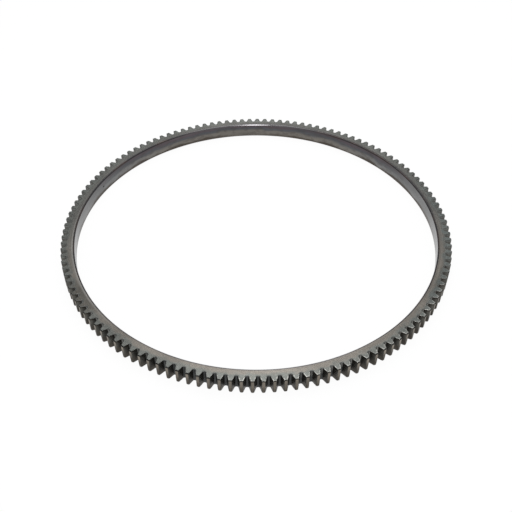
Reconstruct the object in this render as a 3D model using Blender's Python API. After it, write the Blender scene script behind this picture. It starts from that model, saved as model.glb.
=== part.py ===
"""Flywheel ring gear, the toothed steel hoop that a starter pinion drives.

The hoop is one piece of steel: a plain turned blank with straight spur teeth cut all round its outside.
It lies on its lower face. The origin is on its axis, in the plane of that face, and +Z is up the axis.
The middle of the first tooth is on +X. All sizes are in metres and all angles in radians.
"""

import math

import bmesh
import bpy

# Teeth in the 10/12 stub form: 10 diametral pitch sets their thickness, 12 sets their height above the
# pitch circle. The gaps are cut a little deeper, and each tooth is thinned to leave backlash.
TOOTH_COUNT = 132
MODULE = 0.00254
PRESSURE_ANGLE = math.radians(20.0)
ADDENDUM = 0.00212
DEDENDUM = 0.003
ROOT_FILLET = 0.0009
TOOTH_THINNING = 0.00012

# Hoop: the rim is the solid metal between the tooth roots and the bore
RIM_THICKNESS = 0.00665
FACE_WIDTH = 0.0135

# Edges turned on the blank, each at 45 degrees
UPPER_BORE_CHAMFER = 0.0009
LOWER_BORE_CHAMFER = 0.0003
UPPER_TIP_CHAMFER = 0.0006

# Edge cut round the lower ends of the teeth, where the starter pinion slides in
LEAD_IN_CHAMFER = 0.0005

# Fineness of the curves
FILLET_STEPS = 2
FLANK_STEPS = 2
SMOOTH_ANGLE = math.radians(40.0)

# Dark steel with a thin oxide skin
STEEL_COLOUR = (0.14, 0.137, 0.13, 1.0)
STEEL_ROUGHNESS = 0.42
STEEL_METALLIC = 1.0

# Sizes that follow from the ones above
PITCH_RADIUS = MODULE * TOOTH_COUNT / 2
BASE_RADIUS = PITCH_RADIUS * math.cos(PRESSURE_ANGLE)
TIP_RADIUS = PITCH_RADIUS + ADDENDUM
ROOT_RADIUS = PITCH_RADIUS - DEDENDUM
BORE_RADIUS = ROOT_RADIUS - RIM_THICKNESS
TOOTH_PITCH = 2 * math.pi / TOOTH_COUNT


def clear_scene():
    for item in list(bpy.data.objects):
        bpy.data.objects.remove(item)


def roll_length(radius):
    """Length of the taut string that draws the involute out to this radius."""
    return math.sqrt(max(radius**2 - BASE_RADIUS**2, 0.0))


def half_tooth_angle(radius):
    """Angle at the axis between a tooth's middle and its flank, at this radius."""
    angle = math.atan2(roll_length(radius), BASE_RADIUS)
    at_pitch_circle = (math.pi * MODULE / 2 - TOOTH_THINNING) / (2 * PITCH_RADIUS)
    return at_pitch_circle + involute(PRESSURE_ANGLE) - involute(angle)


def involute(angle):
    return math.tan(angle) - angle


def half_root_angle(fillet):
    """Angle at the axis between a gap's middle and the centre of a root fillet of this radius."""
    flank = half_tooth_angle(ROOT_RADIUS + fillet) + fillet / BASE_RADIUS
    return TOOTH_PITCH / 2 - flank


def root_fillet():
    """The root fillet, or the largest one that the gap between two teeth has room for."""
    if half_root_angle(ROOT_FILLET) >= 0.0:
        return ROOT_FILLET
    fits, too_large = 0.0, ROOT_FILLET
    while too_large - fits > 1e-7:
        middle = (fits + too_large) / 2
        if half_root_angle(middle) > 0.0:
            fits = middle
        else:
            too_large = middle
    return fits


def fillet_points(fillet, inset):
    """Points of the root fillet, from the root to the flank, as (radius, angle from the tooth's middle).

    An inset moves the whole outline into the metal. The fillet keeps its centre and grows.
    """
    centre_radius = ROOT_RADIUS + fillet
    centre_angle = TOOTH_PITCH / 2 - half_root_angle(fillet)
    sweep = math.atan2(BASE_RADIUS, roll_length(centre_radius))
    points = []
    for step in range(FILLET_STEPS + 1):
        turn = centre_angle + math.pi + sweep * step / FILLET_STEPS
        x = centre_radius * math.cos(centre_angle) + (fillet + inset) * math.cos(turn)
        y = centre_radius * math.sin(centre_angle) + (fillet + inset) * math.sin(turn)
        points.append((math.hypot(x, y), math.atan2(y, x)))
    return points


def flank_points(start_radius, inset):
    """Points of the involute flank above the fillet, up to the tip chamfer and then the tip."""
    chamfer_radius = TIP_RADIUS - UPPER_TIP_CHAMFER - inset
    radii = []
    for step in range(1, FLANK_STEPS + 1):
        radii.append(start_radius + (chamfer_radius - start_radius) * step / FLANK_STEPS)
    radii.append(TIP_RADIUS - inset)
    return [(radius, half_tooth_angle(radius) - inset / BASE_RADIUS) for radius in radii]


def tooth_outline(inset):
    """One tooth's outline against the clock's direction, as (radius, angle from the tooth's middle)."""
    half = fillet_points(root_fillet(), inset)
    half += flank_points(half[-1][0], inset)
    return [(radius, -angle) for radius, angle in half] + half[::-1]


def add_ring(bm, outline, heights):
    """Adds the outline's points once for every tooth, and returns them as one list for each tooth."""
    teeth = []
    for tooth in range(TOOTH_COUNT):
        points = []
        for (radius, angle), height in zip(outline, heights):
            turn = angle + tooth * TOOTH_PITCH
            points.append(bm.verts.new((radius * math.cos(turn), radius * math.sin(turn), height)))
        teeth.append(points)
    return teeth


def add_teeth_ring(bm, inset, height, tip_height):
    outline = tooth_outline(inset)
    tip = len(outline) // 2
    heights = [tip_height if index in (tip - 1, tip) else height for index in range(len(outline))]
    return add_ring(bm, outline, heights)


def add_bore_ring(bm, radius, height):
    """One point for each tooth, below the start of that tooth's outline."""
    start_angle = tooth_outline(0.0)[0][1]
    return add_ring(bm, [(radius, start_angle)], [height])


def join_rings(bm, first, second):
    """Adds the band of four-sided faces between two rings that have the same points."""
    lower = [point for tooth in first for point in tooth]
    upper = [point for tooth in second for point in tooth]
    for index in range(len(lower)):
        after = (index + 1) % len(lower)
        bm.faces.new((lower[index], lower[after], upper[after], upper[index]))


def add_face_of_tooth(bm, outline):
    """Fills a tooth's end with faces that run from flank to flank."""
    last = len(outline) - 1
    for index in range(len(outline) // 2 - 1):
        bm.faces.new((outline[index], outline[index + 1], outline[last - index - 1], outline[last - index]))


def add_flat(bm, teeth, bore):
    """Fills a flat side of the ring: each tooth's end, and the rim between it and the bore."""
    for tooth, outline in enumerate(teeth):
        following = (tooth + 1) % TOOTH_COUNT
        add_face_of_tooth(bm, outline)
        bm.faces.new((bore[tooth][0], outline[0], outline[-1], teeth[following][0], bore[following][0]))


def ring_gear_mesh():
    bm = bmesh.new()
    lower_ends = add_teeth_ring(bm, LEAD_IN_CHAMFER, 0.0, 0.0)
    lower_teeth = add_teeth_ring(bm, 0.0, LEAD_IN_CHAMFER, LEAD_IN_CHAMFER)
    upper_teeth = add_teeth_ring(bm, 0.0, FACE_WIDTH, FACE_WIDTH - UPPER_TIP_CHAMFER)
    lower_mouth = add_bore_ring(bm, BORE_RADIUS + LOWER_BORE_CHAMFER, 0.0)
    lower_bore = add_bore_ring(bm, BORE_RADIUS, LOWER_BORE_CHAMFER)
    upper_bore = add_bore_ring(bm, BORE_RADIUS, FACE_WIDTH - UPPER_BORE_CHAMFER)
    upper_mouth = add_bore_ring(bm, BORE_RADIUS + UPPER_BORE_CHAMFER, FACE_WIDTH)
    join_rings(bm, lower_ends, lower_teeth)
    join_rings(bm, lower_teeth, upper_teeth)
    for first, second in zip((lower_mouth, lower_bore, upper_bore), (lower_bore, upper_bore, upper_mouth)):
        join_rings(bm, first, second)
    add_flat(bm, lower_ends, lower_mouth)
    add_flat(bm, upper_teeth, upper_mouth)
    bmesh.ops.recalc_face_normals(bm, faces=bm.faces)
    mesh = bpy.data.meshes.new("ring_gear")
    bm.to_mesh(mesh)
    bm.free()
    mesh.shade_smooth()
    mesh.set_sharp_from_angle(angle=SMOOTH_ANGLE)
    return mesh


def steel():
    material = bpy.data.materials.new("oxidised_steel")
    material.use_nodes = True
    shader = material.node_tree.nodes["Principled BSDF"]
    shader.inputs["Base Color"].default_value = STEEL_COLOUR
    shader.inputs["Roughness"].default_value = STEEL_ROUGHNESS
    shader.inputs["Metallic"].default_value = STEEL_METALLIC
    return material


def main():
    clear_scene()
    ring_gear = bpy.data.objects.new("ring_gear", ring_gear_mesh())
    ring_gear.data.materials.append(steel())
    bpy.context.scene.collection.objects.link(ring_gear)


main()
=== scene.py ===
"""Looks of the flywheel ring gear: a fine mesh of the toothed hoop, its steel, the light and the camera."""

import math

import bpy
from mathutils import Matrix, Vector


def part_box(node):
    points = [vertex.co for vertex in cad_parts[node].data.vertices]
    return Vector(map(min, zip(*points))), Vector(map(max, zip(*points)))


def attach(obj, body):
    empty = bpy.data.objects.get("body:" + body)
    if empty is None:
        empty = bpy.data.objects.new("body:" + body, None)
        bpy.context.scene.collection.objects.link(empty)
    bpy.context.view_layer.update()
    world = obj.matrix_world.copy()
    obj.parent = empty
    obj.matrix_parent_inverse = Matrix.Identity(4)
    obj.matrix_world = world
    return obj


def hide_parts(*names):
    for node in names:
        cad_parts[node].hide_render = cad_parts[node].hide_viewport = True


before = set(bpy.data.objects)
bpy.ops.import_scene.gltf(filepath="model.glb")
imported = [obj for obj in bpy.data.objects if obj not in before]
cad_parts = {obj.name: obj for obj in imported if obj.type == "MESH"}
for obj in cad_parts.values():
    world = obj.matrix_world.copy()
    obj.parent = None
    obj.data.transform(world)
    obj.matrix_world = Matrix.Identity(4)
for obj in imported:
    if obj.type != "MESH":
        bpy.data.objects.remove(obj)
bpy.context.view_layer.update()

LOW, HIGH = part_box("ring_gear")

# Teeth, in metres and radians, in the 10/12 stub form
TOOTH_COUNT = 132
MODULE = 0.00254
PRESSURE_ANGLE = math.radians(20.0)
DEDENDUM = 0.003
TOOTH_THINNING = 0.00012
ROOT_FILLET = 0.0009
RIM_THICKNESS = 0.00665
TIP_ROUND = 0.00024

# Towards their lower ends the teeth grow slimmer and rounder
SLIM_HEIGHT = 0.0035
SLIM_TIP_ROUND = 0.0011
SLIM_FILLET = 0.0012
SLIM_CUT = 0.00006

# Edges: the chamfers are turned at 45 degrees, and the rounds are what deburring leaves
UPPER_TIP_CHAMFER = 0.0006
UPPER_BORE_CHAMFER = 0.0009
LOWER_BORE_CHAMFER = 0.0003
UPPER_EDGE_CHAMFER = 0.0002
CREASE_ROUND = 0.00008
# Width of the strip inside the upper edge's chamfer that carries the painted edge highlight and shade
EDGE_STRIP = 0.0002
LEAD_IN_ROUND = 0.0005
BORE_EDGE_ROUND = 0.0001
MOUTH_ROUND = 0.0004
SMALLEST_ROUND = 0.00002

# Fineness
FILLET_STEPS = 5
FLANK_STEPS = 5
CORNER_STEPS = 3
LAND_STEPS = 2
ROUND_STEPS = 3
CREASE_STEPS = 2
MOUTH_STEPS = 4
WALL_STEPS = 5
BORE_POINTS_A_TOOTH = 6
SHARP_ANGLE = math.radians(35.0)

# Sizes that follow
FACE_WIDTH = HIGH.z - LOW.z
TIP_RADIUS = HIGH.x
PITCH_RADIUS = MODULE * TOOTH_COUNT / 2
BASE_RADIUS = PITCH_RADIUS * math.cos(PRESSURE_ANGLE)
ROOT_RADIUS = PITCH_RADIUS - DEDENDUM
BORE_RADIUS = ROOT_RADIUS - RIM_THICKNESS
CHAMFER_RADIUS = TIP_RADIUS - UPPER_TIP_CHAMFER
MOUTH_RADIUS = BORE_RADIUS + UPPER_BORE_CHAMFER
TOOTH_PITCH = 2 * math.pi / TOOTH_COUNT

# A dark spot, like a small pit, on the bore's wall, on the left towards the back
PIT_TURN = math.radians(154.2)
PIT_HEIGHT = 0.0072
PIT_SIZE = 0.0013
PIT_PLACE = (BORE_RADIUS * math.cos(PIT_TURN), BORE_RADIUS * math.sin(PIT_TURN), PIT_HEIGHT)

# A darker stain on the upper face, on the left towards the front
STAIN_TURN = math.radians(210.5)
STAIN_RADIUS = 0.1625
STAIN_SIZE = 0.024
STAIN_PLACE = (STAIN_RADIUS * math.cos(STAIN_TURN), STAIN_RADIUS * math.sin(STAIN_TURN), FACE_WIDTH)

# Steel colours, as the share of white light sent back; some of them carry painted light and shade
HEATED_STEEL = (0.129, 0.119, 0.106)
TOOTH_STEEL = (0.102, 0.106, 0.099)
RIGHT_TOOTH_STEEL = (0.094, 0.104, 0.100)
# Painted shade: the teeth on the left and right towards the back, and the rim towards the back, which is also
# greyer there
SHADED_BACK_TOOTH_STEEL = (0.081, 0.085, 0.079)
BACK_RIM_GREY_AND_SHADE = (0.082, 0.081, 0.076)
LIGHT_INNER_STEEL = (0.188, 0.182, 0.171)
# The bore's front and sides: its own colour, lightened by a painted highlight
BORE_SIDE_WITH_HIGHLIGHT = (0.170, 0.171, 0.171)
BORE_LIGHT = (0.160, 0.149, 0.134)
BORE_BLUE = (0.082, 0.084, 0.091)
BORE_PURPLE = (0.085, 0.072, 0.080)
# Painted shade at the bore's foot
SHADED_BORE_FOOT = (0.080, 0.068, 0.058)
BORE_STAIN = (0.066, 0.056, 0.052)
CHAMFER_STEEL = (0.036, 0.035, 0.037)
# Painted highlight on the bore chamfers at the middle of the front and back
CHAMFER_HIGHLIGHT = (0.092, 0.089, 0.092)
CHAMFER_RED = (0.043, 0.035, 0.033)
# The tip chamfers at the middle of the front, and their painted shade to the left and right of it
TIP_CHAMFER_STEEL = (0.028, 0.026, 0.024)
SHADED_TIP_CHAMFER = (0.008, 0.008, 0.008)
# Painted light on the flanks near the upper face at the ring's left and right ends
FLANK_STEEL = (0.136, 0.143, 0.136)
MIDDLE_FLANK_STEEL = (0.088, 0.086, 0.077)
# Darker flanks towards the lower end, and painted shade near the upper face away from the ring's left and
# right ends
LOWER_FLANK_STEEL = (0.053, 0.047, 0.039)
# Painted shade in the roots of the gaps, and painted light on their upper part off the middle
ROOT_STEEL = (0.048, 0.050, 0.050)
LIT_UPPER_ROOT_STEEL = (0.190, 0.190, 0.180)
LAND_STEEL = (0.194, 0.172, 0.143)
# Painted shade towards the lower end of the lands
SHADED_LOWER_LAND_STEEL = (0.094, 0.082, 0.068)
SIDE_LAND_STEEL = (0.255, 0.226, 0.188)
# Painted shade towards the lower end of the lands at the left and right
SHADED_LOWER_SIDE_LAND_STEEL = (0.066, 0.058, 0.048)
LAND_RIM_TINT = (0.85, 0.85, 0.85)
STAIN_STEEL = (0.086, 0.081, 0.072)
PIT_COLOUR = (0.012, 0.011, 0.011)
# Painted highlight on the upper edges and outer ends of the teeth at the front
EDGE_HIGHLIGHT_STEEL = (0.225, 0.225, 0.212)
# Painted shade on the edges, the tops of the lands and the outer ends of the teeth away from the front
SHADED_EDGE_STEEL = (0.066, 0.069, 0.065)

# Camera, found from the edges of the ring in the photograph
CAMERA_ELEVATION = math.radians(43.663)
CAMERA_TURN = -0.011294
CAMERA_ROLL = math.radians(-0.999)
CAMERA_DISTANCE = 0.64069
CAMERA_TARGET = (-0.011811, -0.024731, 0.0)
CAMERA_LENS = 51.737
CAMERA_SHIFT = 0.026516

# Light: radiance 1 is white
WORLD_STRENGTH = 0.6
FLOOR_Z = -0.0002
FLOOR_RADIUS = 6.0
FLOOR_STEPS = 64
FLOOR_COLOUR = (0.9, 0.9, 0.9)
FLOOR_FADE = (0.4, 1.6)
FLOOR_WHITENESS = (0.93, 1.0)


def involute(angle):
    return math.tan(angle) - angle


def roll_length(radius):
    """Length of the taut string that draws the involute out to this radius."""
    return math.sqrt(max(radius**2 - BASE_RADIUS**2, 0.0))


def half_tooth_angle(radius):
    """Angle at the axis between a tooth's middle and its flank, at this radius."""
    angle = math.atan2(roll_length(radius), BASE_RADIUS)
    at_pitch_circle = (math.pi * MODULE / 2 - TOOTH_THINNING) / (2 * PITCH_RADIUS)
    return at_pitch_circle + involute(PRESSURE_ANGLE) - involute(angle)


def arc(centre_radius, centre_angle, size, start, sweep, steps):
    """Points along an arc, as (radius, angle) about the gear's axis.
    start is measured from the centre's own angle."""
    points = []
    for step in range(steps + 1):
        turn = centre_angle + start + sweep * step / steps
        x = centre_radius * math.cos(centre_angle) + size * math.cos(turn)
        y = centre_radius * math.sin(centre_angle) + size * math.sin(turn)
        points.append((math.hypot(x, y), math.atan2(y, x)))
    return points


def half_outline(inset, slim=0.0):
    """Half a tooth's outline from the root to the tip's middle, moved into the metal by the inset.
    slim goes from 0 to 1 towards the lower end."""
    fillet = ROOT_FILLET + (SLIM_FILLET - ROOT_FILLET) * slim
    cut = SLIM_CUT * slim
    centre = ROOT_RADIUS + fillet
    at = half_tooth_angle(centre) + (fillet - cut) / BASE_RADIUS
    sweep = math.atan2(BASE_RADIUS, roll_length(centre))
    points = arc(centre, at, fillet + inset, math.pi, sweep, FILLET_STEPS)
    corner = max(TIP_ROUND + (SLIM_TIP_ROUND - TIP_ROUND) * slim - inset, SMALLEST_ROUND)
    centre = TIP_RADIUS - inset - corner
    start, end = points[-1][0], min(CHAMFER_RADIUS, centre)
    for step in range(1, FLANK_STEPS + 1):
        radius = start + (end - start) * step / FLANK_STEPS
        points.append((radius, half_tooth_angle(radius) - (inset + cut) / BASE_RADIUS))
    at = half_tooth_angle(centre) - (inset + cut + corner) / BASE_RADIUS
    sweep = math.atan2(BASE_RADIUS, roll_length(centre))
    points += arc(centre, at, corner, sweep, -sweep, CORNER_STEPS)
    for step in range(1, LAND_STEPS):
        points.append((TIP_RADIUS - inset, at * (1 - step / LAND_STEPS)))
    return points


def tooth_outline(inset, slim=0.0):
    half = half_outline(inset, slim)
    return [(radius, -angle) for radius, angle in half] + half[::-1]


def rounded_edge(size, steps):
    """(inset, depth) along a quarter round, from the end face to the side."""
    turns = [math.pi / 2 * step / steps for step in range(steps + 1)]
    return [(size * (1 - math.sin(turn)), size * (1 - math.cos(turn))) for turn in turns]


def rounded_corner(before, corner, after, size, steps):
    """Points round a corner of a section, from this far before it to this far after it."""
    before, corner, after = Vector(before), Vector(corner), Vector(after)
    start = corner + (before - corner).normalized() * size
    end = corner + (after - corner).normalized() * size
    points = []
    for step in range(steps + 1):
        share = step / steps
        point = start.lerp(corner, share).lerp(corner.lerp(end, share), share)
        points.append((point.x, point.y))
    return points


def lower_levels():
    """(inset, height) of each level of the lead-in round at the lower ends of the teeth."""
    return rounded_edge(LEAD_IN_ROUND, ROUND_STEPS)


def upper_levels():
    """(inset, height) of each level of the upper edge: its small chamfer, and the strip inside that, painted
    with highlight and shade.
    """
    side = (0.0, FACE_WIDTH - UPPER_EDGE_CHAMFER)
    inner = (UPPER_TIP_CHAMFER, FACE_WIDTH)
    crease = rounded_corner(side, (UPPER_EDGE_CHAMFER, FACE_WIDTH), inner, CREASE_ROUND, CREASE_STEPS)
    return [side, *crease, inner, (UPPER_TIP_CHAMFER + EDGE_STRIP, FACE_WIDTH)]


def wall_levels(low, high):
    """Heights between the two edges, closer together near the lower one."""
    return [low + (high - low) * (step / WALL_STEPS) ** 1.5 for step in range(1, WALL_STEPS)]


def slim_at(height):
    """How far a tooth has grown slimmer at this height above its lead-in round, from 0 to 1."""
    return max(1 - height / SLIM_HEIGHT, 0.0) ** 0.5


def bore_levels():
    """(radius, height) down the bore, with both chamfers and their slightly rounded edges."""
    corners = [
        (BORE_RADIUS + LOWER_BORE_CHAMFER, 0.0),
        (BORE_RADIUS, LOWER_BORE_CHAMFER),
        (BORE_RADIUS, FACE_WIDTH - UPPER_BORE_CHAMFER),
        (BORE_RADIUS + UPPER_BORE_CHAMFER, FACE_WIDTH),
    ]
    outer = [(corners[0][0] + 0.001, 0.0), *corners, (corners[-1][0] + 0.001, FACE_WIDTH)]
    edges = []
    for before, corner, after, size in zip(outer, corners, outer[2:], [BORE_EDGE_ROUND] * 3 + [MOUTH_ROUND]):
        edges.append(rounded_corner(before, corner, after, size, MOUTH_STEPS))
    middle = [(BORE_RADIUS, height) for height in wall_levels(edges[1][-1][1], edges[2][0][1])]
    return edges[0] + edges[1] + middle + edges[2] + edges[3]


def below_chamfer(radius, height):
    """The height, or the turned chamfer's height at this radius where that is lower."""
    return min(height, FACE_WIDTH - max(radius - CHAMFER_RADIUS, 0.0))


class Builder:
    """Collects points and faces, with a material for each face."""

    def __init__(self):
        self.points = []
        self.faces = []
        self.slots = []

    def ring(self, outline, height):
        """Adds the outline once for every tooth. It returns the points' numbers, one list for each tooth."""
        teeth = []
        for tooth in range(TOOTH_COUNT):
            first = len(self.points)
            for radius, angle in outline:
                turn = angle + tooth * TOOTH_PITCH
                x, y = radius * math.cos(turn), radius * math.sin(turn)
                self.points.append((x, y, below_chamfer(radius, height)))
            teeth.append(list(range(first, len(self.points))))
        return teeth

    def face(self, corners, slot):
        self.faces.append(corners)
        self.slots.append(slot)

    def band(self, first, second, slots, outward=True):
        """Faces between two rings. The slots repeat along them."""
        lower = [point for tooth in first for point in tooth]
        upper = [point for tooth in second for point in tooth]
        for index in range(len(lower)):
            after = (index + 1) % len(lower)
            corners = [lower[index], lower[after], upper[after], upper[index]]
            self.face(corners if outward else corners[::-1], slots[index % len(slots)])

    def flat(self, teeth, bore, upward):
        """Each tooth's end, as faces from flank to flank, and the rim between it and the bore."""
        for tooth, outline in enumerate(teeth):
            following = (tooth + 1) % TOOTH_COUNT
            last = len(outline) - 1
            for index in range(len(outline) // 2 - 1):
                across = last - index
                corners = [outline[index], outline[index + 1], outline[across - 1], outline[across]]
                self.face(corners if upward else corners[::-1], FACE_SLOT)
            rim = [outline[0], outline[-1], teeth[following][0], bore[following][0], *bore[tooth][::-1]]
            self.face(rim if upward else rim[::-1], FACE_SLOT)

    def mesh(self, name):
        mesh = bpy.data.meshes.new(name)
        mesh.from_pydata(self.points, [], self.faces)
        mesh.polygons.foreach_set("material_index", self.slots)
        mesh.update()
        return mesh


FACE_SLOT, BORE_SLOT, CHAMFER_SLOT, FLANK_SLOT, LAND_SLOT, EDGE_SLOT = range(6)


def edge_slots(inset):
    """The slot of each face round one tooth, inwards from this inset: the painted edge highlight and shade,
    apart from the chamfers.
    """
    if inset == 0.0:
        return [CHAMFER_SLOT]
    high = [radius > CHAMFER_RADIUS + SMALLEST_ROUND for radius, angle in tooth_outline(inset)]
    return [CHAMFER_SLOT if here and after else EDGE_SLOT for here, after in zip(high, high[1:] + [False])]


def side_slots():
    """The slot of each face round one tooth: its land has one of its own."""
    on_land = [radius > TIP_RADIUS - SMALLEST_ROUND / 2 for radius, angle in tooth_outline(0.0)]
    following = on_land[1:] + [False]
    return [LAND_SLOT if here and after else FLANK_SLOT for here, after in zip(on_land, following)]


def ring_mesh():
    build = Builder()
    lower = [build.ring(tooth_outline(inset, 1.0), height) for inset, height in lower_levels()]
    upper = [build.ring(tooth_outline(inset), height) for inset, height in upper_levels()]
    low, high = lower_levels()[-1][1], FACE_WIDTH - UPPER_TIP_CHAMFER - CREASE_ROUND
    heights = [*wall_levels(low, high), high]
    walls = [build.ring(tooth_outline(0.0, slim_at(height - low)), height) for height in heights]
    sides = lower + walls + upper[:1]
    for first, second in zip(sides, sides[1:]):
        build.band(first, second, side_slots())
    for first, second, (inset, height) in zip(upper, upper[1:], upper_levels()):
        build.band(first, second, edge_slots(inset))
    start = tooth_outline(0.0)[0][1]
    share = TOOTH_PITCH / BORE_POINTS_A_TOOTH
    angles = [start + share * step for step in range(BORE_POINTS_A_TOOTH)]
    levels = bore_levels()
    bore = [build.ring([(radius, angle) for angle in angles], height) for radius, height in levels]
    for index, (first, second) in enumerate(zip(bore, bore[1:])):
        sloped = max(levels[index][0], levels[index + 1][0]) > BORE_RADIUS
        build.band(first, second, [CHAMFER_SLOT if sloped else BORE_SLOT], outward=False)
    build.flat(sides[0], bore[0], upward=False)
    build.flat(upper[-1], bore[-1], upward=True)
    return build.mesh("toothed_hoop")


# Sockets of the colour form of Blender's Mix node
MIX_SHARE, MIX_FIRST, MIX_SECOND, MIX_RESULT = 0, 6, 7, 2


class Steel:
    """A new steel material, and short ways to add nodes that read the surface's own place in metres."""

    def __init__(self, name, anisotropy):
        self.material = bpy.data.materials.new(name)
        self.material.use_nodes = True
        self.nodes = self.material.node_tree.nodes
        self.links = self.material.node_tree.links
        self.shader = self.nodes["Principled BSDF"]
        self.shader.inputs["Metallic"].default_value = 1.0
        self.shader.inputs["Anisotropic"].default_value = anisotropy
        self.shader.inputs["Anisotropic Rotation"].default_value = 0.25
        tangent = self.nodes.new("ShaderNodeTangent")
        tangent.direction_type = "RADIAL"
        tangent.axis = "Z"
        self.links.new(tangent.outputs[0], self.shader.inputs["Tangent"])
        place = self.nodes.new("ShaderNodeSeparateXYZ")
        self.links.new(self.nodes.new("ShaderNodeTexCoord").outputs["Object"], place.inputs[0])
        self.x, self.y, self.height = place.outputs
        squares = self.maths("ADD", self.maths("POWER", self.x, 2.0), self.maths("POWER", self.y, 2.0))
        self.radius = self.maths("SQRT", squares)

    def feed(self, socket, value):
        """Links a socket to another node's output, or sets its plain value."""
        if isinstance(value, bpy.types.NodeSocket):
            self.links.new(value, socket)
        elif isinstance(value, tuple):
            socket.default_value = (*value, 1.0)
        else:
            socket.default_value = value

    def maths(self, operation, *values):
        node = self.nodes.new("ShaderNodeMath")
        node.operation = operation
        for socket, value in zip(node.inputs, values):
            self.feed(socket, value)
        return node.outputs[0]

    def rise(self, value, start, end, low=0.0, high=1.0):
        """A smooth step from low to high, while the value goes from start to end."""
        node = self.nodes.new("ShaderNodeMapRange")
        node.interpolation_type = "SMOOTHSTEP"
        for socket, item in zip(node.inputs, (value, start, end, low, high)):
            self.feed(socket, item)
        return node.outputs[0]

    def aside(self, start, end, low=0.0, high=1.0):
        """The same step with the distance to the left or right of the ring's middle."""
        return self.rise(self.maths("ABSOLUTE", self.x), start, end, low, high)

    def beside_front(self):
        """0 at the front's middle, and 1 to the left and right of it."""
        return self.maths("MAXIMUM", self.rise(self.x, -0.01, -0.04), self.rise(self.x, 0.05, 0.08))

    def product(self, first, *others):
        for other in others:
            first = self.maths("MULTIPLY", first, other)
        return first

    def noise(self, around, outward, upward, detail=2.0):
        """Noise from about 0.25 to 0.75, with a grain of these sizes along, out from and up the ring."""
        vector = self.nodes.new("ShaderNodeCombineXYZ")
        self.feed(vector.inputs[0], self.maths("DIVIDE", self.x, around))
        self.feed(vector.inputs[1], self.maths("DIVIDE", self.y, around))
        outwards = self.maths("DIVIDE", self.radius, outward)
        grain = self.maths("ADD", outwards, self.maths("DIVIDE", self.height, upward))
        self.feed(vector.inputs[2], grain)
        node = self.nodes.new("ShaderNodeTexNoise")
        node.inputs["Scale"].default_value = 1.0
        node.inputs["Detail"].default_value = detail
        self.links.new(vector.outputs[0], node.inputs["Vector"])
        return node.outputs[0]

    def spot(self, place, size):
        """1 at a place on the surface, and 0 from this far off."""
        here = (self.x, self.y, self.height)
        sides = [self.maths("SUBTRACT", value, target) for value, target in zip(here, place)]
        squares = [self.maths("POWER", side, 2.0) for side in sides]
        off = self.maths("SQRT", self.maths("ADD", self.maths("ADD", *squares[:2]), squares[2]))
        return self.rise(off, size, size * 0.4)

    def blend(self, share, first, second):
        node = self.nodes.new("ShaderNodeMix")
        node.data_type = "RGBA"
        self.feed(node.inputs[MIX_SHARE], share)
        self.feed(node.inputs[MIX_FIRST], first)
        self.feed(node.inputs[MIX_SECOND], second)
        return node.outputs[MIX_RESULT]

    def shaded(self, colour, pattern, amount):
        """The colour, made up to this share darker and lighter by a pattern from 0.25 to 0.75."""
        factor = self.rise(pattern, 0.25, 0.75, 1.0 - amount, 1.0 + amount)
        node = self.nodes.new("ShaderNodeMix")
        node.data_type = "RGBA"
        node.blend_type = "MULTIPLY"
        node.inputs[MIX_SHARE].default_value = 1.0
        self.feed(node.inputs[MIX_FIRST], colour)
        self.feed(node.inputs[MIX_SECOND], factor)
        return node.outputs[MIX_RESULT]

    def finish(self, colour, roughness, marks, depth):
        """Wires up the shader. The marks are a height pattern from 0 to 1, this many metres deep."""
        self.feed(self.shader.inputs["Base Color"], colour)
        self.feed(self.shader.inputs["Roughness"], roughness)
        bump = self.nodes.new("ShaderNodeBump")
        bump.inputs["Distance"].default_value = depth
        self.links.new(marks, bump.inputs["Height"])
        self.links.new(bump.outputs[0], self.shader.inputs["Normal"])
        return self.material


def light_inner_strip(steel):
    """Where a face is lighter beside the bore: on the left."""
    inner = steel.rise(steel.radius, BORE_RADIUS + 0.0018, BORE_RADIUS + 0.0034, 1.0, 0.0)
    return steel.product(inner, steel.rise(steel.x, -0.10, -0.15), steel.rise(steel.y, 0.05, -0.03))


def mouth_shade(steel):
    """Where shade is painted on the face beside the bore's chamfer: widest at the back's right, not at the
    front's sides."""
    right_back = steel.product(steel.rise(steel.x, 0.0, 0.06), steel.rise(steel.y, -0.02, 0.04))
    end = steel.rise(right_back, 0.0, 1.0, MOUTH_RADIUS + 0.0011, MOUTH_RADIUS + 0.0022)
    strip = steel.rise(steel.radius, MOUTH_RADIUS + 0.0004, end, 1.0, 0.0)
    front_side = steel.product(steel.aside(0.04, 0.10), steel.rise(steel.y, 0.03, -0.02))
    front_share = steel.rise(front_side, 0.0, 1.0, 0.7, 0.0)
    back_share = steel.aside(0.0, 0.06, 0.5, 0.9)
    share = steel.rise(steel.y, 0.0, 0.08, front_share, back_share)
    return steel.product(strip, steel.rise(steel.x, -0.155, -0.140, 0.4, 1.0), share)


def shaded_ends(steel):
    """Where the outer ends of the teeth get painted shade: towards the back."""
    ends = steel.rise(steel.radius, TIP_RADIUS - 0.0026, TIP_RADIUS - 0.0014)
    share = steel.product(steel.aside(0.0, 0.04, 0.6, 1.0), steel.rise(steel.y, 0.0, 0.09))
    return steel.product(ends, share)


def highlit_ends(steel):
    """Where the outer ends of the teeth get a painted highlight: at the front, towards the right."""
    ends = steel.rise(steel.radius, TIP_RADIUS - 0.0019, TIP_RADIUS - 0.0009)
    near, far = steel.rise(steel.x, 0.0, 0.04, 0.0, 0.6), steel.rise(steel.x, 0.11, 0.14, 1.0, 1.6)
    return steel.product(ends, near, far, steel.rise(steel.y, -0.03, -0.08))


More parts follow.
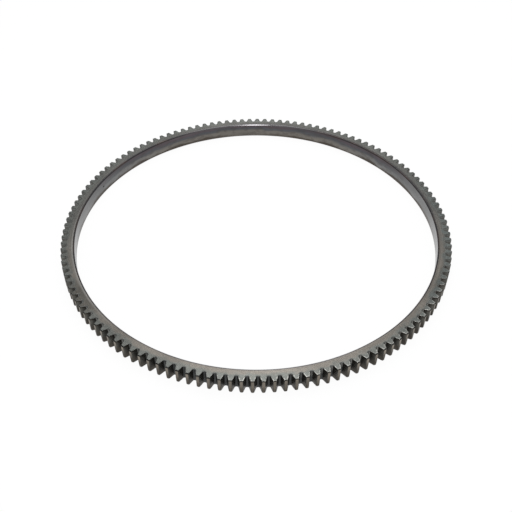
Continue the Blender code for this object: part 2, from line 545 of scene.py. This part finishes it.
def face_steel(steel):
    """The face's colours: browned between the bore and the hardened teeth, and darker towards the back as
    painted shade.
    """
    patches = steel.noise(0.007, 0.005, 0.005, 4.0)
    out = steel.maths("ADD", steel.radius, steel.rise(patches, 0.25, 0.75, -0.0022, 0.0022))
    heated = steel.rise(out, ROOT_RADIUS - 0.0035, ROOT_RADIUS + 0.0008, 1.0, 0.0)
    # Painted shade: darker teeth on the left and right towards the back
    back_side = steel.product(steel.aside(0.04, 0.10), steel.rise(steel.y, -0.04, 0.02))
    teeth = steel.blend(back_side, TOOTH_STEEL, SHADED_BACK_TOOTH_STEEL)
    right = steel.product(steel.rise(steel.x, 0.09, 0.15), steel.rise(steel.y, 0.07, 0.02))
    teeth = steel.blend(right, teeth, RIGHT_TOOTH_STEEL)
    # The rim greyer towards the back, and darker there as painted shade
    rim = steel.blend(steel.rise(steel.y, -0.06, 0.03), HEATED_STEEL, BACK_RIM_GREY_AND_SHADE)
    return steel.blend(heated, teeth, rim)


def turned_face():
    """Both end faces, faced on a lathe."""
    steel = Steel("turned_face", 0.75)
    cloud = steel.noise(0.03, 0.02, 0.02, 3.0)
    rings = steel.noise(0.09, 0.0011, 0.01, 3.0)
    specks = steel.noise(0.0022, 0.0022, 0.0022, 3.0)
    colour = steel.blend(steel.spot(STAIN_PLACE, STAIN_SIZE), face_steel(steel), STAIN_STEEL)
    colour = steel.blend(light_inner_strip(steel), colour, LIGHT_INNER_STEEL)
    # Painted shade on the face beside the bore's chamfer
    colour = steel.blend(mouth_shade(steel), colour, CHAMFER_STEEL)
    # Painted shade on the outer ends of the teeth towards the back
    colour = steel.blend(shaded_ends(steel), colour, SHADED_EDGE_STEEL)
    # Painted highlight on the outer ends of the teeth at the front
    colour = steel.blend(highlit_ends(steel), colour, EDGE_HIGHLIGHT_STEEL)
    colour = steel.shaded(colour, cloud, 0.12)
    colour = steel.shaded(colour, rings, 0.15)
    colour = steel.shaded(colour, specks, 0.10)
    roughness = steel.rise(rings, 0.25, 0.75, 0.33, 0.43)
    lines = steel.noise(0.05, 0.00028, 0.01, 1.0)
    return steel.finish(colour, roughness, lines, 0.000006)


def turned_bore():
    """The bore: turned, and tinted in bands by the heat that hardened the teeth."""
    steel = Steel("turned_bore", 0.6)
    cloud = steel.noise(0.022, 0.02, 0.012, 3.0)
    level = steel.maths("ADD", steel.height, steel.rise(cloud, 0.25, 0.75, -0.0016, 0.0016))
    back = steel.rise(steel.y, 0.03, 0.12)
    tint_share = steel.rise(back, 0.0, 1.0, steel.rise(steel.y, -0.05, 0.0, 0.75, 0.25), 1.0)
    # Lighter at the front and sides: the bore's own colour and a painted highlight
    colour = steel.blend(steel.rise(steel.y, 0.08, 0.145), BORE_SIDE_WITH_HIGHLIGHT, BORE_LIGHT)
    colour = steel.blend(steel.product(steel.rise(level, 0.0052, 0.0088), tint_share), colour, BORE_BLUE)
    colour = steel.blend(steel.product(steel.rise(level, 0.0096, 0.0112), back), colour, BORE_PURPLE)
    # Painted shade: darker near the bore's foot, most at the back's left and right
    foot = steel.product(steel.rise(level, 0.0036, 0.0014), steel.rise(steel.y, -0.05, 0.03))
    foot = steel.product(foot, steel.aside(0.0, 0.05, 0.3, 1.0))
    colour = steel.blend(foot, colour, SHADED_BORE_FOOT)
    stains = steel.rise(steel.noise(0.006, 0.02, 0.0035, 4.0), 0.48, 0.62)
    stains = steel.product(stains, steel.rise(back, 0.0, 1.0, 0.1, 0.35))
    colour = steel.blend(stains, colour, BORE_STAIN)
    rings = steel.noise(0.12, 0.01, 0.0007, 3.0)
    colour = steel.shaded(colour, cloud, 0.12)
    colour = steel.shaded(colour, rings, 0.08)
    colour = steel.blend(steel.spot(PIT_PLACE, PIT_SIZE), colour, PIT_COLOUR)
    roughness = steel.rise(rings, 0.25, 0.75, 0.17, 0.26)
    lines = steel.noise(0.06, 0.01, 0.00024, 1.0)
    return steel.finish(colour, roughness, lines, 0.000005)


def turned_chamfer():
    """The chamfers of the bore and the tooth tips, left darker partly by the heat and partly as painted
    shade.
    """
    steel = Steel("turned_chamfer", 0.5)
    cloud = steel.noise(0.015, 0.01, 0.01, 3.0)
    lines = steel.noise(0.04, 0.0004, 0.0004, 2.0)
    colour = steel.blend(steel.rise(cloud, 0.4, 0.6), CHAMFER_STEEL, CHAMFER_RED)
    # Painted highlight: lighter bore chamfers at the middle of the front and back
    colour = steel.blend(steel.aside(0.04, 0.09), CHAMFER_HIGHLIGHT, colour)
    # Painted shade: near-black tip chamfers to the left and right of the front
    tips = steel.blend(steel.beside_front(), TIP_CHAMFER_STEEL, SHADED_TIP_CHAMFER)
    colour = steel.blend(steel.rise(steel.radius, ROOT_RADIUS, PITCH_RADIUS), colour, tips)
    colour = steel.shaded(colour, cloud, 0.18)
    colour = steel.shaded(colour, lines, 0.10)
    return steel.finish(colour, steel.rise(lines, 0.25, 0.75, 0.14, 0.20), lines, 0.000004)


def root_share(steel):
    """How far a point on the flank is down in the gap's root, where shade and light are painted: less at the
    ring's left and right ends.
    """
    root = steel.rise(steel.radius, ROOT_RADIUS + 0.0008, ROOT_RADIUS + 0.0002)
    return steel.product(root, steel.rise(steel.aside(0.148, 0.162), 0.0, 1.0, 1.0, 0.4))


def cut_flank():
    """Tooth flanks and roots: hobbed, with cutter marks across them, dark with scale, and painted with shade
    and light in the gaps.
    """
    steel = Steel("cut_flank", 0.3)
    cloud = steel.noise(0.004, 0.004, 0.006, 3.0)
    # Near the upper face: painted shade, and painted light at the ring's left and right ends
    top = steel.blend(steel.aside(0.148, 0.162), LOWER_FLANK_STEEL, FLANK_STEEL)
    colour = steel.blend(steel.rise(steel.height, 0.0112, 0.0128), MIDDLE_FLANK_STEEL, top)
    colour = steel.blend(steel.rise(steel.height, 0.0095, 0.0035), colour, LOWER_FLANK_STEEL)
    # Down in the roots: painted shade, and painted light on their upper part off the middle
    off_middle = steel.maths("MAXIMUM", steel.rise(steel.x, 0.01, 0.07), steel.rise(steel.x, -0.06, -0.12))
    upper = steel.product(off_middle, steel.rise(steel.height, 0.0062, 0.0098))
    colour = steel.blend(root_share(steel), colour, steel.blend(upper, ROOT_STEEL, LIT_UPPER_ROOT_STEEL))
    marks = steel.noise(0.006, 0.004, 0.0005, 2.0)
    colour = steel.shaded(colour, cloud, 0.25)
    colour = steel.shaded(colour, marks, 0.10)
    return steel.finish(colour, steel.rise(marks, 0.25, 0.75, 0.36, 0.50), marks, 0.000010)


def tip_land():
    """The turned outside of the hoop, left on the tips of the teeth, with painted shade towards its lower end
    and along its top beside the front.
    """
    steel = Steel("tip_land", 0.4)
    cloud = steel.noise(0.0035, 0.004, 0.005, 3.0)
    rings = steel.noise(0.03, 0.002, 0.0006, 2.0)
    # Painted shade: darker towards the lower end, also at the left and right ends
    colour = steel.blend(steel.rise(steel.height, 0.0, FACE_WIDTH), SHADED_LOWER_LAND_STEEL, LAND_STEEL)
    side = steel.blend(steel.rise(steel.height, 0.0035, 0.0120), SHADED_LOWER_SIDE_LAND_STEEL, SIDE_LAND_STEEL)
    colour = steel.blend(steel.aside(0.03, 0.10), colour, side)
    # Painted shade along the top of the lands beside the front
    shaded_top = steel.product(steel.beside_front(), steel.rise(steel.height, 0.0120, 0.0127, 0.0, 0.8))
    colour = steel.blend(shaded_top, colour, SHADED_EDGE_STEEL)
    colour = steel.shaded(colour, cloud, 0.22)
    colour = steel.shaded(colour, rings, 0.10)
    steel.feed(steel.shader.inputs["Specular Tint"], LAND_RIM_TINT)
    return steel.finish(colour, steel.rise(rings, 0.25, 0.75, 0.34, 0.46), rings, 0.000008)


def edge_highlight_and_shade():
    """The upper edge round the teeth: a painted highlight in patches at the front and its right, and painted
    shade elsewhere.
    """
    steel = Steel("edge_highlight_and_shade", 0.0)
    glint_patches = steel.noise(0.003, 0.003, 0.003, 3.0)
    front = steel.product(steel.rise(steel.y, -0.02, -0.12), steel.rise(steel.x, -0.06, -0.01))
    on_tooth = steel.rise(steel.radius, ROOT_RADIUS + 0.0006, ROOT_RADIUS + 0.0016)
    # Painted highlight in patches at the front and its right, and painted shade near the roots and elsewhere
    bright = steel.blend(steel.rise(glint_patches, 0.35, 0.6), TOOTH_STEEL, EDGE_HIGHLIGHT_STEEL)
    bright = steel.blend(on_tooth, SHADED_EDGE_STEEL, bright)
    colour = steel.blend(front, SHADED_EDGE_STEEL, bright)
    return steel.finish(colour, steel.rise(glint_patches, 0.25, 0.75, 0.42, 0.30), glint_patches, 0.000010)


def make_ring():
    mesh = ring_mesh()
    for material in (turned_face(), turned_bore(), turned_chamfer(), cut_flank(), tip_land(), edge_highlight_and_shade()):
        mesh.materials.append(material)
    mesh.shade_smooth()
    mesh.set_sharp_from_angle(angle=SHARP_ANGLE)
    ring = bpy.data.objects.new("toothed_hoop", mesh)
    bpy.context.scene.collection.objects.link(ring)
    flatten = ring.modifiers.new("flat_sides", "WEIGHTED_NORMAL")
    flatten.keep_sharp = True
    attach(ring, "root")
    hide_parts("ring_gear")
    return ring


def seen_by_camera_or_gloss(nodes, links):
    """1 for camera, glossy and transmission rays, and 0 for the rest."""
    path = nodes.new("ShaderNodeLightPath")
    total = path.outputs["Is Camera Ray"]
    for kind in ("Is Glossy Ray", "Is Transmission Ray"):
        larger = nodes.new("ShaderNodeMath")
        larger.operation = "MAXIMUM"
        links.new(total, larger.inputs[0])
        links.new(path.outputs[kind], larger.inputs[1])
        total = larger.outputs[0]
    return total


def make_world():
    world = bpy.data.worlds.new("studio")
    bpy.context.scene.world = world
    world.use_nodes = True
    nodes, links = world.node_tree.nodes, world.node_tree.links
    background = nodes["Background"]
    strength = nodes.new("ShaderNodeMapRange")
    strength.inputs["To Min"].default_value = WORLD_STRENGTH
    strength.inputs["To Max"].default_value = 1.0
    links.new(seen_by_camera_or_gloss(nodes, links), strength.inputs["Value"])
    links.new(strength.outputs["Result"], background.inputs["Strength"])
    background.inputs["Color"].default_value = (1.0, 1.0, 1.0, 1.0)


def floor_material():
    """White where it is seen, and plain diffuse for the light it sends to the ring and for the shadow."""
    material = bpy.data.materials.new("floor_white")
    material.use_nodes = True
    nodes, links = material.node_tree.nodes, material.node_tree.links
    nodes.clear()
    diffuse = nodes.new("ShaderNodeBsdfDiffuse")
    diffuse.inputs["Color"].default_value = (*FLOOR_COLOUR, 1.0)
    glow = nodes.new("ShaderNodeEmission")
    off = nodes.new("ShaderNodeVectorMath")
    off.operation = "LENGTH"
    links.new(nodes.new("ShaderNodeTexCoord").outputs["Object"], off.inputs[0])
    fade = nodes.new("ShaderNodeMapRange")
    for socket, value in zip(fade.inputs[1:5], (*FLOOR_FADE, *FLOOR_WHITENESS)):
        socket.default_value = value
    links.new(off.outputs["Value"], fade.inputs["Value"])
    share = nodes.new("ShaderNodeMath")
    share.operation = "MULTIPLY"
    links.new(fade.outputs["Result"], share.inputs[1])
    links.new(seen_by_camera_or_gloss(nodes, links), share.inputs[0])
    mix = nodes.new("ShaderNodeMixShader")
    links.new(share.outputs[0], mix.inputs["Fac"])
    links.new(diffuse.outputs[0], mix.inputs[1])
    links.new(glow.outputs[0], mix.inputs[2])
    out = nodes.new("ShaderNodeOutputMaterial")
    links.new(mix.outputs[0], out.inputs["Surface"])
    return material


def make_floor():
    turns = [2 * math.pi * step / FLOOR_STEPS for step in range(FLOOR_STEPS)]
    rim = [(FLOOR_RADIUS * math.cos(turn), FLOOR_RADIUS * math.sin(turn), FLOOR_Z) for turn in turns]
    mesh = bpy.data.meshes.new("floor")
    mesh.from_pydata(rim, [], [list(range(FLOOR_STEPS))])
    mesh.materials.append(floor_material())
    floor = bpy.data.objects.new("floor", mesh)
    bpy.context.scene.collection.objects.link(floor)


def direction(azimuth, elevation):
    """A unit vector. Azimuth 0 is the camera's side of the ring, and 90 is on its right."""
    turn, rise = math.radians(azimuth), math.radians(elevation)
    return Vector((math.sin(turn) * math.cos(rise), -math.cos(turn) * math.cos(rise), math.sin(rise)))


def softbox(name, azimuth, elevation, distance, width, height, radiance):
    """A rectangular lamp aimed at the ring."""
    way = direction(azimuth, elevation)
    data = bpy.data.lights.new(name, "AREA")
    data.shape = "RECTANGLE"
    data.size = width
    data.size_y = height
    data.energy = radiance * math.pi * width * height
    lamp = bpy.data.objects.new(name, data)
    lamp.location = way * distance
    lamp.rotation_mode = "QUATERNION"
    lamp.rotation_quaternion = way.to_track_quat("Z", "Y")
    bpy.context.scene.collection.objects.link(lamp)


def make_lights():
    softbox("back_box", 180, 66, 1.6, 0.6, 1.2, 3.7)
    softbox("right_box", 140, 60, 2.0, 0.6, 0.6, 2.4)
    softbox("left_box", -140, 54, 2.0, 0.6, 0.6, 0.8)
    softbox("strip_lamp", -2, 60, 1.6, 0.26, 0.8, 13.0)


def make_camera():
    data = bpy.data.cameras.new("camera")
    data.lens = CAMERA_LENS
    data.sensor_width = 36.0
    data.shift_x = CAMERA_SHIFT
    camera = bpy.data.objects.new("camera", data)
    back = Vector((0.0, -math.cos(CAMERA_ELEVATION), math.sin(CAMERA_ELEVATION)))
    turn = Matrix.Rotation(CAMERA_TURN, 4, "Z")
    roll = Matrix.Rotation(CAMERA_ROLL, 4, "Z")
    aim = Matrix.Rotation(math.pi / 2 - CAMERA_ELEVATION, 4, "X")
    place = Matrix.Translation(Vector(CAMERA_TARGET) + back * CAMERA_DISTANCE)
    camera.matrix_world = turn @ place @ aim @ roll
    bpy.context.scene.collection.objects.link(camera)
    bpy.context.scene.camera = camera


def make_scene():
    bpy.context.scene.view_settings.view_transform = "Standard"
    make_camera()
    make_world()
    make_floor()
    make_lights()
    make_ring()


make_scene()
